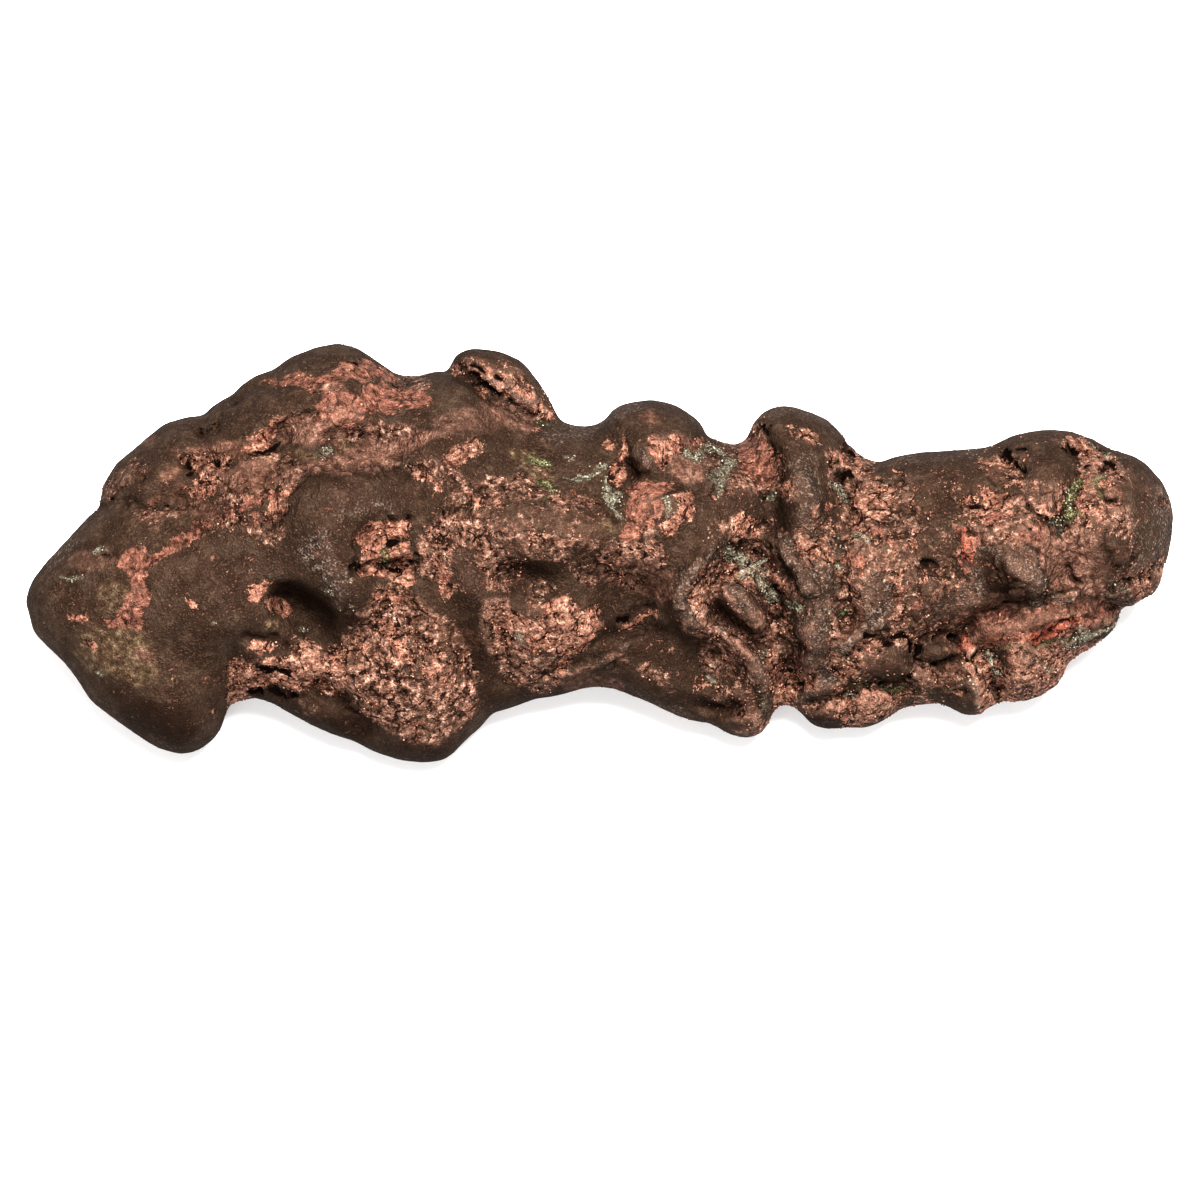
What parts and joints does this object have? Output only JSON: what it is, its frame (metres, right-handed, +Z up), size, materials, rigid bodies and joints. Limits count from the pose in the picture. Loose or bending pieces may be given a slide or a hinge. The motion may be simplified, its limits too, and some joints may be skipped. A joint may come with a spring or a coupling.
{
  "type": "native copper nugget",
  "caption": "Long worn nugget of native copper with a blunt end, knobs and saddles along its back, hollows and a creased lower side.",
  "frame": {"origin": "on the plane it rests on, under the centre of its box", "axes": "+X along the nugget from its broad blunt end to its narrower end, +Y towards the side with the knobs, +Z up"},
  "size_m": [0.1514, 0.0531, 0.0362],
  "materials": {
    "patinated_copper": "dark brown patina worn through to bare reddish copper, rough and pitted"
  },
  "bodies": {
    "root": {"copper_nugget": "patinated_copper"}
  },
  "joints": []
}
